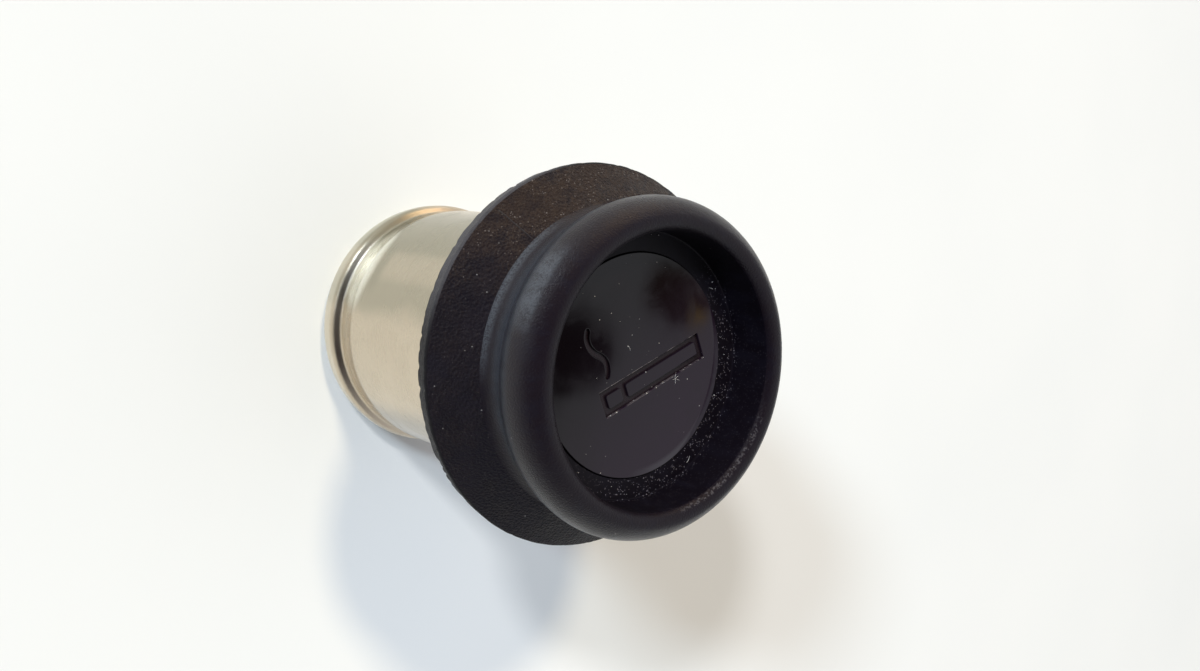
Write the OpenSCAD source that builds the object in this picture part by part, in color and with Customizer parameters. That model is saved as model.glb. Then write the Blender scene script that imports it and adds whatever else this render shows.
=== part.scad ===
// Push-in cigarette lighter plug for a 12 V car socket.
// Upright: the open end of the barrel stands on z = 0 and the knob is on top.
// The barrel stays put; knob, stem and heating element slide down through it.

/* [Barrel] */
// Outside diameter of the barrel's straight wall
barrel_d = 20.2; // [18:0.1:22]
// Sheet thickness of the barrel
barrel_wall = 0.5; // [0.35:0.05:0.7]
// Length from the rolled open end to the turned-in front
barrel_len = 23.7; // [21:0.1:32]
// Radius of the rolled bead's section
bead_r = 1.35; // [1.1:0.05:1.7]
// Length of the sized land on the bead's crest, the barrel's largest diameter
bead_land = 0.6; // [0.3:0.05:1]
// How far the bead stands proud of the straight wall
bead_rise = 0.3; // [0.1:0.05:0.5]
// How deep the neck behind the bead is drawn in
neck_depth = 0.3; // [0.1:0.05:0.5]
// Radius of the concave neck
neck_r = 0.9; // [0.6:0.05:1.2]
// Outside radius of the front corner
barrel_corner_r = 1.2; // [0.8:0.05:1.6]
// Width of the turned-in lip at the open end, from the bead's centre line
lip_w = 0.2; // [0:0.05:0.4]

/* [Travel] */
// How far the knob can be pushed in
travel = 4; // [2.5:0.1:6]
// Gap left between barrel and knob when pushed home
end_gap = 0.3; // [0.2:0.05:0.6]
// How far the knob's skirt covers the barrel's front at rest
skirt_cover = 0.2; // [0:0.05:1]
// Radial gap between the barrel and the knob's bore
skirt_gap = 0.35; // [0.3:0.05:0.5]

/* [Knob] */
// Largest diameter, at the front edge of the rim
flange_d = 28.54; // [27:0.1:33]
// How much smaller the rim is at its rear edge
rim_draft = 0.5; // [0.1:0.05:1]
// Height of the rim's narrow land
rim_h = 1.3; // [0.7:0.05:1.8]
// Wall behind the rim's land
rim_wall = 1.1; // [0.8:0.05:1.5]
// Height of the flared skirt's cone
cone_h = 2.3; // [1.8:0.05:2.8]
// Diameter at the top of the cone
cone_top_d = 22.8; // [22.4:0.1:24]
// Wall of the flared skirt
skirt_wall = 1.25; // [0.9:0.05:1.6]
// Smallest diameter, in the waist
waist_d = 21.74; // [21.4:0.05:22.2]
// Radius of the cove between cone and waist
cove_r = 1.94; // [1.5:0.05:2.5]
// Outside diameter of the rounded front ring
ring_d = 24.2; // [23.2:0.1:26]
// Radius of the ring's outer rounding
ring_r = 2.69; // [2.3:0.05:3]
// Radius of the ring's inner lip
lip_r = 0.75; // [0.4:0.05:1]
// Diameter of the recess in the knob's face
recess_d = 19.5; // [18.5:0.1:20]
// Depth of the recess from the ring's crest
recess_depth = 3.94; // [3:0.1:5]
// How much narrower the recess is at its floor
recess_draft = 0.1; // [0:0.05:0.5]
// Floor left under the face insert
web_t = 1; // [0.8:0.05:1.5]

/* [Face insert] */
// Diameter of the glossy face insert
insert_d = 16.16; // [14:0.1:17.5]
// Thickness of the face insert
insert_t = 0.8; // [0.6:0.05:1.2]
// How far its face stands proud of the recess floor
insert_proud = 0.1; // [0:0.05:0.3]
// Bevel on the insert's front edge
insert_bevel = 0.12; // [0.05:0.01:0.25]
// Height of the boss on its back
insert_boss_h = 0.5; // [0.3:0.05:0.8]
// Gap between the insert and its seat, all round
insert_fit = 0.03; // [0.01:0.01:0.1]

/* [Hub and nut] */
// Diameter of the hub below the knob's floor
hub_d = 10; // [9.6:0.1:10.4]
// Length of the hub below the knob's floor
hub_len = 8.2; // [7:0.1:9.5]
// Diameter of the nut's pocket
pocket_d = 8.4; // [8.2:0.05:8.8]
// Floor left under the pocket, where the nut pulls
pocket_floor = 4.8; // [3.5:0.1:5]
// Width of the nut across its flats
nut_af = 7; // [6.6:0.1:7]
// Height of the nut
nut_h = 2.2; // [1.8:0.05:2.2]
// Diameter of the stem's threaded end
thread_d = 4; // [3:0.1:4.2]
// Radial gap round the threaded end in the hub
thread_gap = 0.05; // [0.02:0.01:0.1]
// How far the threaded end stands out of the nut
thread_over = 0.2; // [0:0.05:0.3]
// Thickness of the flat washer under the nut
flat_washer_t = 0.5; // [0.3:0.05:0.7]
// Radial gap between the flat washer and the pocket
washer_gap = 0.2; // [0.1:0.05:0.3]
// Thickness of the split lock washer
lock_washer_t = 0.8; // [0.5:0.05:0.9]
// Width of the lock washer's split
lock_split = 0.6; // [0.3:0.05:1]

/* [Stem and guide] */
// Diameter of the stem's plain part
stem_d = 6; // [5.2:0.1:6.6]
// Radial gap between stem and guide
stem_gap = 0.3; // [0.25:0.05:0.5]
// Inside diameter of the guide cup, the spring's well
guide_bore_d = 13.2; // [13:0.1:14]
// Sheet thickness of the guide cup
guide_wall = 0.4; // [0.3:0.05:0.6]
// Width of the guide cup's flange
guide_flange_w = 1.8; // [1.2:0.1:1.9]
// Outside radius of the guide cup's lower corner
guide_corner_r = 0.8; // [0.6:0.05:1.2]
// Radial gap between the guide cup and the barrel's front hole
guide_fit = 0.2; // [0.1:0.05:0.4]
// Thickness of the stop ring on the stem
stop_t = 0.95; // [0.6:0.05:1.2]
// Outside diameter of the stop ring
stop_d = 10.4; // [8.6:0.1:11]
// Gap between the stop ring and the guide cup at rest
stop_gap = 0.05; // [0.02:0.01:0.1]
// Bare length of stem between the heat shield and the stop ring
stop_stand = 1; // [0.5:0.1:2]

/* [Return spring] */
// Diameter of the spring's wire
wire_d = 0.8; // [0.6:0.05:0.9]
// Radial gap between the spring and the guide cup
spring_gap = 0.3; // [0.25:0.05:0.45]
// Number of turns, the closed end turns included
spring_turns = 7; // [5:0.5:9]
// Thickness of the slip washer under the knob
slip_t = 0.6; // [0.4:0.05:0.8]
// Radial gap between the slip washer and the hub
slip_gap = 0.3; // [0.3:0.05:0.4]
// How far the slip washer reaches past the spring's wire
slip_over = 0.1; // [0:0.05:0.25]

/* [Heating element] */
// How far the element cup's rim sits inside the barrel's open end
cup_inset = 1.5; // [0.8:0.1:2.2]
// Outside diameter of the element cup
cup_d = 14; // [12.5:0.1:14.4]
// Sheet thickness of the element cup
cup_wall = 0.4; // [0.3:0.05:0.5]
// Depth of the element cup, rim to web
cup_depth = 2.9; // [2.6:0.1:3.4]
// Radius of the bead round the cup's rim
cup_bead_r = 0.45; // [0.3:0.05:0.5]
// Number of turns of the heating ribbon
coil_turns = 5; // [4:1:6]
// Thickness of the heating ribbon
ribbon_t = 0.25; // [0.15:0.05:0.3]
// Height of the heating ribbon
ribbon_h = 1.2; // [0.8:0.05:1.4]
// Gap between the heating ribbon and the inner mica washer
ribbon_gap = 0.2; // [0.1:0.05:0.3]
// How much of the last turn is welded to the cup, in degrees
weld_angle = 50; // [20:5:80]
// Diameter of the rivet's shank
rivet_d = 3.4; // [2.8:0.1:3.6]
// Diameter of the rivet's head
rivet_head_d = 5; // [4.2:0.1:5.4]
// Height of the rivet's head
rivet_head_h = 0.6; // [0.4:0.05:0.8]
// Gap between the rivet's head and the heating ribbon
rivet_head_gap = 0.1; // [0.05:0.05:0.2]
// How deep the rivet's shank goes up into the stem
rivet_hold = 4; // [2.5:0.1:5]
// Thickness of each mica washer
mica_t = 0.4; // [0.25:0.05:0.5]
// Radial gap between the inner mica washer and the cup's wall
mica_gap = 0.6; // [0.45:0.05:1.2]
// Diameter of the ceramic insulator
ceramic_d = 10.4; // [8:0.1:11.5]
// Height of the ceramic insulator's body
ceramic_h = 2.4; // [1.8:0.1:2.8]
// Wall of the ceramic collar through the cup's web
collar_wall = 0.6; // [0.4:0.05:0.8]
// Radial gap between the heat shield and the barrel's neck
shield_gap = 0.9; // [0.6:0.05:2]
// Thickness of the heat shield
shield_t = 0.4; // [0.3:0.05:0.5]
// Depth of the heat shield's turned-down rim
shield_rim = 1; // [0.7:0.05:1.4]

/* [Hidden] */
$fn = 96;
e = 0.01;

barrel_ro = barrel_d / 2;
bead_cr = barrel_ro + bead_rise - bead_r;
neck_cr = barrel_ro - neck_depth + neck_r;
bead_top = bead_r + bead_land;
neck_z = bead_top + sqrt(pow(bead_r + neck_r, 2) - pow(neck_cr - bead_cr, 2));

z_web = barrel_len + travel + end_gap;
z_seat = z_web + web_t;
z_face = z_seat + insert_t;
z_floor = z_face - insert_proud;
z_crest = z_floor + recess_depth;
z_rear = barrel_len - skirt_cover;
z_rim = z_rear + rim_h;
z_cone = z_rim + cone_h;

recess_ro = recess_d / 2;
bore_r = barrel_ro + skirt_gap;
bore_corner_r = barrel_corner_r + skirt_gap - e;
ring_cr = ring_d / 2 - ring_r;
lip_cr = recess_ro + lip_r;
ring_rise = sqrt(pow(ring_r - lip_r, 2) - pow(lip_cr - ring_cr, 2));
z_lip = z_crest - lip_r;
z_ring = z_lip - ring_rise;

z_hub = z_web - hub_len;
z_pocket = z_hub + pocket_floor;
z_nut = z_pocket + flat_washer_t + lock_washer_t;

z_cup_web = cup_inset + cup_depth;
z_ribbon = z_cup_web - mica_t - ribbon_gap - ribbon_h;
z_rivet_face = z_ribbon - rivet_head_gap;
z_ceramic = z_cup_web + cup_wall + mica_t;
z_shield = z_ceramic + ceramic_h;
z_stem = z_shield + shield_t;
z_stop = z_stem + stop_stand;
collar_r = rivet_d / 2 + collar_wall;
mica_r = cup_d / 2 - cup_wall - mica_gap;
shield_ro = barrel_ro - neck_depth - barrel_wall - shield_gap;

guide_ro = guide_bore_d / 2 + guide_wall;
front_hole_r = guide_ro + guide_fit;
z_guide_top = barrel_len - barrel_wall;
z_guide = z_stop + stop_t + stop_gap;
z_well = z_guide + guide_wall;
guide_depth = z_guide_top - z_guide;

spring_r = guide_bore_d / 2 - spring_gap - wire_d / 2;
z_slip = z_web - slip_t;

// Section of the drawn barrel; w = 0 gives its outside, w = the wall its inside.
module barrel_section(w) {
    corner = barrel_corner_r - w;
    difference() {
        polygon([
            [0, bead_top],
            [bead_cr, bead_top],
            [neck_cr, neck_z],
            [barrel_ro - w, neck_z + sqrt(pow(neck_r + w, 2) - pow(neck_cr - barrel_ro + w, 2))],
            [barrel_ro - w, barrel_len - barrel_corner_r],
            [0, barrel_len - barrel_corner_r]
        ]);
        translate([neck_cr, neck_z]) circle(neck_r + w);
    }
    translate([bead_cr, bead_r]) circle(bead_r - w);
    translate([bead_cr, bead_top]) circle(bead_r - w);
    translate([0, bead_r]) square([bead_cr + bead_r - w, bead_land]);
    translate([barrel_ro - barrel_corner_r, barrel_len - barrel_corner_r]) circle(corner);
    translate([0, barrel_len - barrel_corner_r - e])
        square([barrel_ro - barrel_corner_r, corner + e]);
}

module barrel() {
    color([0.78, 0.74, 0.66])
    rotate_extrude()
    difference() {
        barrel_section(0);
        barrel_section(barrel_wall);
        translate([-e, -e]) square([bead_cr - lip_w + e, bead_r + 2 * e]);
        translate([-e, barrel_len - 2 * barrel_wall]) square([front_hole_r + e, 3 * barrel_wall]);
    }
}

// Round front ring: the outer rounding and the inner lip meet in one tangent curve.
module ring_section() {
    difference() {
        translate([ring_cr, z_ring]) circle(ring_r);
        difference() {
            translate([0, z_lip]) square([lip_cr, ring_r]);
            translate([lip_cr, z_lip]) circle(lip_r);
        }
        difference() {
            polygon([
                [lip_cr, z_lip],
                [lip_cr + 2 * (lip_cr - ring_cr), z_lip + 2 * ring_rise],
                [lip_cr, z_lip + 2 * ring_rise]
            ]);
            translate([lip_cr, z_lip]) circle(lip_r);
        }
    }
}

module knob_outline() {
    polygon([
        [0, z_rear],
        [(flange_d - rim_draft) / 2, z_rear],
        [flange_d / 2, z_rim],
        [cone_top_d / 2, z_cone],
        [0, z_cone]
    ]);
    cove_cr = waist_d / 2 + cove_r;
    cove_rise = sqrt(pow(cove_r, 2) - pow(cove_cr - cone_top_d / 2, 2));
    difference() {
        translate([0, z_cone - e]) square([cone_top_d / 2, cove_rise + e]);
        translate([cove_cr, z_cone + cove_rise]) circle(cove_r);
    }
    translate([0, z_cone]) square([waist_d / 2, z_ring - z_cone]);
    difference() {
        ring_section();
        translate([0, z_ring]) square([recess_ro, 2 * ring_r]);
    }
}

// Space inside the flared skirt and round the barrel's front.
module skirt_space() {
    slope = cone_h / (flange_d - cone_top_d) * 2;
    run = skirt_wall * sqrt(1 + slope * slope);
    rim_ri = (flange_d - rim_draft) / 2 - rim_wall;
    polygon([
        [0, z_rear - 1],
        [rim_ri, z_rear - 1],
        [rim_ri, z_rim + slope * (flange_d / 2 - rim_ri) - run],
        [bore_r, z_rim + slope * (flange_d / 2 - bore_r) - run],
        [bore_r, z_web - bore_corner_r],
        [0, z_web - bore_corner_r]
    ]);
    translate([bore_r - bore_corner_r, z_web - bore_corner_r]) circle(bore_corner_r);
    translate([0, z_web - bore_corner_r - e])
        square([bore_r - bore_corner_r, bore_corner_r + e]);
}

module knob() {
    color([0.06, 0.055, 0.06])
    difference() {
        union() {
            rotate_extrude()
            difference() {
                knob_outline();
                skirt_space();
                polygon([
                    [0, z_floor],
                    [recess_ro - recess_draft / 2, z_floor],
                    [recess_ro, z_lip],
                    [recess_ro, z_crest + 1],
                    [0, z_crest + 1]
                ]);
            }
            translate([0, 0, z_hub]) cylinder(d = hub_d, h = hub_len + web_t / 2);
        }
        translate([0, 0, z_seat]) cylinder(d = insert_d + 2 * insert_fit, h = insert_t + 1);
        translate([0, 0, z_pocket]) cylinder(d = pocket_d, h = z_seat - z_pocket + e);
        translate([0, 0, z_hub - 1]) cylinder(d = thread_d + 2 * thread_gap, h = pocket_floor + 2);
    }
}

module face_insert() {
    color([0.02, 0.02, 0.025])
    rotate_extrude()
    polygon([
        [0, z_seat - insert_boss_h],
        [pocket_d / 2 - 2 * insert_fit, z_seat - insert_boss_h],
        [pocket_d / 2 - 2 * insert_fit, z_seat],
        [insert_d / 2, z_seat],
        [insert_d / 2, z_face - insert_bevel],
        [insert_d / 2 - insert_bevel, z_face],
        [0, z_face]
    ]);
}

module knob_nut() {
    chamfer = 0.25;
    corner_r = nut_af / 2 / cos(30);
    color([0.72, 0.68, 0.5])
    difference() {
        intersection() {
            translate([0, 0, z_nut]) cylinder(r = corner_r, h = nut_h, $fn = 6);
            rotate_extrude()
            polygon([
                [0, z_nut],
                [nut_af / 2 + 0.1, z_nut],
                [corner_r, z_nut + chamfer],
                [corner_r, z_nut + nut_h - chamfer],
                [nut_af / 2 + 0.1, z_nut + nut_h],
                [0, z_nut + nut_h]
            ]);
        }
        translate([0, 0, z_nut - 1]) cylinder(d = thread_d, h = nut_h + 2);
    }
}

module lock_washer() {
    washer_d = nut_af;
    color([0.45, 0.46, 0.48])
    translate([0, 0, z_pocket + flat_washer_t])
    difference() {
        cylinder(d = washer_d, h = lock_washer_t);
        translate([0, 0, -1]) cylinder(d = thread_d, h = lock_washer_t + 2);
        translate([0, -lock_split / 2, -1]) cube([washer_d, lock_split, lock_washer_t + 2]);
    }
}

module flat_washer() {
    color([0.7, 0.7, 0.72])
    translate([0, 0, z_pocket])
    difference() {
        cylinder(d = pocket_d - 2 * washer_gap, h = flat_washer_t);
        translate([0, 0, -1]) cylinder(d = thread_d, h = flat_washer_t + 2);
    }
}

module stem() {
    tip = 0.3;
    z_top = z_nut + nut_h + thread_over;
    color([0.66, 0.66, 0.68])
    rotate_extrude()
    polygon([
        [rivet_d / 2, z_stem],
        [stem_d / 2, z_stem],
        [stem_d / 2, z_hub],
        [thread_d / 2, z_hub],
        [thread_d / 2, z_top - tip],
        [thread_d / 2 - tip, z_top],
        [0, z_top],
        [0, z_stem + rivet_hold],
        [rivet_d / 2, z_stem + rivet_hold]
    ]);
}

module slip_washer() {
    color([0.75, 0.73, 0.68])
    translate([0, 0, z_slip])
    difference() {
        cylinder(r = spring_r + wire_d / 2 + slip_over, h = slip_t);
        translate([0, 0, -1]) cylinder(d = hub_d + 2 * slip_gap, h = slip_t + 2);
    }
}

// Height along the spring: the end turns lie close, the turns between are open.
function spring_lift(turn, total, rise, closed) =
    turn < 1 ? closed * turn :
    turn > total - 1 ? rise - closed * (total - turn) :
    closed + (rise - 2 * closed) * (turn - 1) / (total - 2);

module return_spring() {
    sides = 8;
    steps = 20;
    rings = floor(spring_turns * steps);
    gap = 0.02;
    z_low = z_well + wire_d / 2 + gap;
    rise = z_slip - wire_d / 2 - gap - z_low;
    points = [
        for (i = [0 : rings])
        let (turn = i / steps, a = turn * 360)
        for (j = [0 : sides - 1])
        let (
            b = j * 360 / sides,
            r = spring_r + wire_d / 2 * cos(b),
            z = z_low + spring_lift(turn, spring_turns, rise, wire_d * 1.08) + wire_d / 2 * sin(b)
        )
        [r * cos(a), r * sin(a), z]
    ];
    first = [for (j = [0 : sides - 1]) j];
    last = [for (j = [0 : sides - 1]) rings * sides + sides - 1 - j];
    skin = [
        for (i = [0 : rings - 1])
        for (j = [0 : sides - 1])
        let (
            a = i * sides + j,
            b = i * sides + (j + 1) % sides
        )
        each [[a, a + sides, b], [b, a + sides, b + sides]]
    ];
    color([0.55, 0.56, 0.58]) polyhedron(points, concat([first], [last], skin));
}

module guide_cup() {
    ro = guide_ro;
    corner_in = guide_corner_r - guide_wall;
    color([0.7, 0.68, 0.62])
    rotate_extrude()
    difference() {
        union() {
            translate([0, z_guide_top - guide_wall])
                square([front_hole_r + guide_flange_w - guide_fit, guide_wall]);
            translate([0, z_guide + guide_corner_r])
                square([ro, guide_depth - guide_corner_r]);
            translate([0, z_guide]) square([ro - guide_corner_r, guide_corner_r + e]);
            translate([ro - guide_corner_r, z_guide + guide_corner_r]) circle(guide_corner_r);
        }
        translate([-e, z_guide + guide_corner_r]) square([guide_bore_d / 2 + e, guide_depth + 1]);
        translate([-e, z_well]) square([ro - guide_corner_r + e, guide_depth]);
        translate([ro - guide_corner_r, z_guide + guide_corner_r]) circle(corner_in);
        translate([-e, z_guide - 1]) square([stem_d / 2 + stem_gap + e, guide_depth]);
    }
}

module stop_ring() {
    edge = 0.15;
    color([0.35, 0.35, 0.38])
    rotate_extrude()
    polygon([
        [stem_d / 2, z_stop],
        [stop_d / 2 - edge, z_stop],
        [stop_d / 2, z_stop + edge],
        [stop_d / 2, z_stop + stop_t - edge],
        [stop_d / 2 - edge, z_stop + stop_t],
        [stem_d / 2, z_stop + stop_t]
    ]);
}

module heat_shield() {
    r_flat = shield_ro - shield_rim;
    color([0.62, 0.6, 0.56])
    rotate_extrude()
    union() {
        translate([rivet_d / 2, z_shield]) square([r_flat - rivet_d / 2, shield_t]);
        translate([r_flat, z_stem - shield_rim])
        intersection() {
            difference() {
                circle(shield_rim);
                circle(shield_rim - shield_t);
            }
            square(shield_rim);
        }
    }
}

module ceramic_insulator() {
    edge = 0.3;
    color([0.9, 0.88, 0.83])
    rotate_extrude()
    polygon([
        [rivet_d / 2, z_cup_web],
        [collar_r, z_cup_web],
        [collar_r, z_ceramic],
        [ceramic_d / 2 - edge, z_ceramic],
        [ceramic_d / 2, z_ceramic + edge],
        [ceramic_d / 2, z_shield - edge],
        [ceramic_d / 2 - edge, z_shield],
        [rivet_d / 2, z_shield]
    ]);
}

module mica_outer() {
    color([0.66, 0.58, 0.42])
    translate([0, 0, z_cup_web + cup_wall])
    difference() {
        cylinder(r = mica_r, h = mica_t);
        translate([0, 0, -1]) cylinder(r = collar_r, h = mica_t + 2);
    }
}

module element_cup() {
    ro = cup_d / 2;
    corner = 2 * cup_wall;
    color([0.68, 0.66, 0.62])
    rotate_extrude()
    difference() {
        union() {
            translate([0, cup_inset]) square([ro, cup_depth + cup_wall - corner]);
            translate([0, cup_inset]) square([ro - corner, cup_depth + cup_wall]);
            translate([ro - corner, z_cup_web + cup_wall - corner]) circle(corner);
            translate([ro, cup_inset + cup_bead_r]) circle(cup_bead_r);
        }
        translate([-e, cup_inset - 1]) square([ro - cup_wall + e, 1 + cup_depth + cup_wall - corner]);
        translate([-e, cup_inset - 1]) square([ro - corner + e, 1 + cup_depth]);
        translate([ro - corner, z_cup_web + cup_wall - corner]) circle(corner - cup_wall);
        translate([-e, z_cup_web - 1]) square([collar_r + e, 2 + cup_wall]);
    }
}

module mica_inner() {
    color([0.66, 0.58, 0.42])
    translate([0, 0, z_cup_web - mica_t])
    difference() {
        cylinder(r = mica_r, h = mica_t);
        translate([0, 0, -1]) cylinder(d = rivet_d, h = mica_t + 2);
    }
}

// One arc of the ribbon: a half ring, or less on the last one.
module ribbon_arc(r, angle) {
    far = 2 * cup_d;
    intersection() {
        difference() {
            circle(r + ribbon_t);
            circle(r);
        }
        polygon([[0, 0], [far, 0], [far * cos(angle / 2), far * sin(angle / 2)], [far * cos(angle), far * sin(angle)]]);
    }
}

module heating_coil() {
    halves = 2 * coil_turns;
    r_first = rivet_d / 2;
    r_last = cup_d / 2 - cup_wall - ribbon_t;
    step = (r_last - r_first) / halves;
    color([0.5, 0.42, 0.36])
    translate([0, 0, z_ribbon])
    linear_extrude(ribbon_h)
    for (k = [0 : halves]) {
        odd = k % 2;
        translate([odd * step, 0])
        rotate(odd * 180)
        ribbon_arc(r_first + k * step, k == halves ? weld_angle : 180);
    }
}

module centre_rivet() {
    edge = 0.25;
    color([0.8, 0.76, 0.68])
    rotate_extrude()
    polygon([
        [0, z_rivet_face - rivet_head_h],
        [rivet_head_d / 2 - edge, z_rivet_face - rivet_head_h],
        [rivet_head_d / 2, z_rivet_face - rivet_head_h + edge],
        [rivet_head_d / 2, z_rivet_face],
        [rivet_d / 2, z_rivet_face],
        [rivet_d / 2, z_stem + rivet_hold],
        [0, z_stem + rivet_hold]
    ]);
}

knob();
face_insert();
knob_nut();
lock_washer();
flat_washer();
stem();
slip_washer();
return_spring();
barrel();
guide_cup();
stop_ring();
heat_shield();
ceramic_insulator();
mica_outer();
element_cup();
mica_inner();
heating_coil();
centre_rivet();
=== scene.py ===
# Looks for the push-in lighter plug: fine meshes, finishes, floor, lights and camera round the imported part.
import math
import random

import bmesh
import bpy
from mathutils import Matrix, Vector, noise


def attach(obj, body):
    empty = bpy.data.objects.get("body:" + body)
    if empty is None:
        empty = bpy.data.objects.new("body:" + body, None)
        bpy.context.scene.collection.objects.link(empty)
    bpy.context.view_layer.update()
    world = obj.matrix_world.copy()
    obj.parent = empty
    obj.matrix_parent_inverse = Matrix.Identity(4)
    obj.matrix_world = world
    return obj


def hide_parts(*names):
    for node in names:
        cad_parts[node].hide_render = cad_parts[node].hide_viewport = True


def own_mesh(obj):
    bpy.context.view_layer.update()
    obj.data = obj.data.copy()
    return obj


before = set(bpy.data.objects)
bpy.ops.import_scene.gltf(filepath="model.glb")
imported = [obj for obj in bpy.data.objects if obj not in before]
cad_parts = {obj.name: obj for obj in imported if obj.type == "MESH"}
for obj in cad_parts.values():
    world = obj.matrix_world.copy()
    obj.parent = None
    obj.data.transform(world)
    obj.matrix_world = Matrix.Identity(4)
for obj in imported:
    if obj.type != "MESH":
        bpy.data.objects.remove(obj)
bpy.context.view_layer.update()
print("frame loaded:", len(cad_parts), "nodes")

mm = 0.001  # every size below is in millimetres; meshes are made in metres


# shader maths

class Wire:  # one value inside a shader, so that maths on it reads as maths
    def __init__(self, finish, socket):
        self.finish, self.socket = finish, socket

    def maths(self, operation, first, second):
        return self.finish.node("Math", {"operation": operation}, {0: first, 1: second})

    def __add__(self, other):
        return self.maths("ADD", self, other)

    def __radd__(self, other):
        return self.maths("ADD", other, self)

    def __sub__(self, other):
        return self.maths("SUBTRACT", self, other)

    def __rsub__(self, other):
        return self.maths("SUBTRACT", other, self)

    def __mul__(self, other):
        return self.maths("MULTIPLY", self, other)

    def __rmul__(self, other):
        return self.maths("MULTIPLY", other, self)

    def __truediv__(self, other):
        return self.maths("DIVIDE", self, other)

    def __pow__(self, other):
        return self.maths("POWER", self, other)


class Finish:  # a node tree being wired up
    def __init__(self, tree):
        self.tree = tree
        tree.nodes.clear()

    # any node: its type, its settings, then the values or links of its sockets
    def node(self, kind, settings=None, inputs=None, output=0):
        made = self.tree.nodes.new("ShaderNode" + kind)
        for name, value in (settings or {}).items():
            if name == "stops":
                ramp = made.color_ramp
                while len(ramp.elements) < len(value):
                    ramp.elements.new(0.5)
                for element, (place, colour) in zip(ramp.elements, value):
                    element.position = place
                    element.color = (*colour, 1)
            else:
                setattr(made, name, value)
        for name, value in (inputs or {}).items():
            socket = made.inputs[name]
            if isinstance(value, Wire):
                self.tree.links.new(value.socket, socket)
            elif socket.type == "RGBA" and len(value) == 3:
                socket.default_value = (*value, 1)
            else:
                socket.default_value = value
        return Wire(self, made.outputs[output]) if made.outputs else None

    def place(self):  # where the point is on its piece, in millimetres
        spot = self.node("TexCoord", output="Object")
        return self.node("VectorMath", {"operation": "SCALE"}, {0: spot, "Scale": 1 / mm})

    def axes(self, vector):
        parts = self.node("SeparateXYZ", None, {0: vector})
        made = parts.socket.node
        return [Wire(self, made.outputs[k]) for k in range(3)]

    def facing(self, vector, direction):  # how far the vector reaches in that direction
        return self.node("VectorMath", {"operation": "DOT_PRODUCT"}, {0: vector, 1: direction}, "Value")

    def noise(self, vector, size, detail=2.0, rough=0.5, warp=0.0):
        return self.node("TexNoise", None, {"Vector": vector, "Scale": 1 / size, "Detail": detail,
                                            "Roughness": rough, "Distortion": warp})

    def cells(self, vector, size):  # distance from the nearest cell's middle
        return self.node("TexVoronoi", None, {"Vector": vector, "Scale": 1 / size})

    def cellTone(self, vector, size):  # one grey per cell
        tone = self.node("TexVoronoi", None, {"Vector": vector, "Scale": 1 / size}, "Color")
        return self.node("SeparateColor", None, {0: tone})

    def stretch(self, vector, scale):
        return self.node("VectorMath", {"operation": "MULTIPLY"}, {0: vector, 1: scale})

    def fade(self, value, low, high, first=0.0, last=1.0):  # smooth step from first to last
        return self.node("MapRange", {"interpolation_type": "SMOOTHSTEP"},
                         {0: value, 1: low, 2: high, 3: first, 4: last})

    def band(self, value, rise, full, still, end):  # 1 between full and still, 0 before rise and past end
        return self.fade(value, rise, full) * self.fade(value, still, end, 1, 0)

    def blend(self, factor, first, second):  # colours
        return self.node("Mix", {"data_type": "RGBA"}, {0: factor, 6: first, 7: second}, 2)

    def bump(self, height, strength, distance, under=None):
        inputs = {"Height": height, "Strength": strength, "Distance": distance * mm}
        if under is not None:
            inputs["Normal"] = under
        return self.node("Bump", None, inputs)

    def surface(self, **sockets):
        names = {name.replace("_", " "): value for name, value in sockets.items()}
        shader = self.node("BsdfPrincipled", None, names)
        self.node("OutputMaterial", None, {"Surface": shader})


def newFinish(name):
    material = bpy.data.materials.new(name)
    material.use_nodes = True
    return material, Finish(material.node_tree)


# fine pale dust: few specks, each a small soft dot, given as a mask
def dustMask(finish, spot, size, share):
    near = finish.cells(spot, size)
    chosen = finish.fade(finish.cellTone(spot, size), 1 - share, 1 - share + 0.01)
    clump = finish.fade(finish.noise(spot, 3.1, 3), 0.42, 0.62)
    return finish.fade(near, 0.08, 0.2, 1, 0) * chosen * clump


knob = {
    "rear": 23.5, "rearR": 14.02, "rim": 24.8, "rimR": 14.27, "coneTop": 27.1, "coneR": 11.4,
    "rimEdge": 0.16, "shoulder": 0.3, "coveR": 1.94, "coveAt": (12.81, 28.4325), "waist": 10.87, "blendR": 0.55,
    "ringAt": (9.41, 31.285), "ringR": 2.69, "lipAt": (10.5, 32.89), "lipR": 0.75,
    "recessR": 9.70, "floor": 29.7, "seat": 29.0, "seatR": 8.11, "web": 28.0, "hub": 19.8,
    "hubR": 5.0, "pocketR": 4.2, "pocket": 24.6, "boreR": 10.45, "boreFoot": 26.26, "holeR": 2.05,
    "skirtR": 12.92, "skirtFoot": 24.28, "nickDepth": 0.22, "wave": 0.05,
}
knobLook = {
    "pitSize": 0.20, "pitDepth": 0.13, "fineSize": 0.10, "glintSize": 0.075, "fleckSize": 0.062,
    "body": (0.0054, 0.0041, 0.0070), "warmSheen": (0.053, 0.038, 0.030), "bluish": (0.0080, 0.0070, 0.0122),
    "brown": (0.0242, 0.0147, 0.0108),
    "glint": (0.20, 0.175, 0.165), "fleck": (0.185, 0.168, 0.195), "dust": (0.36, 0.34, 0.33),
}


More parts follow.
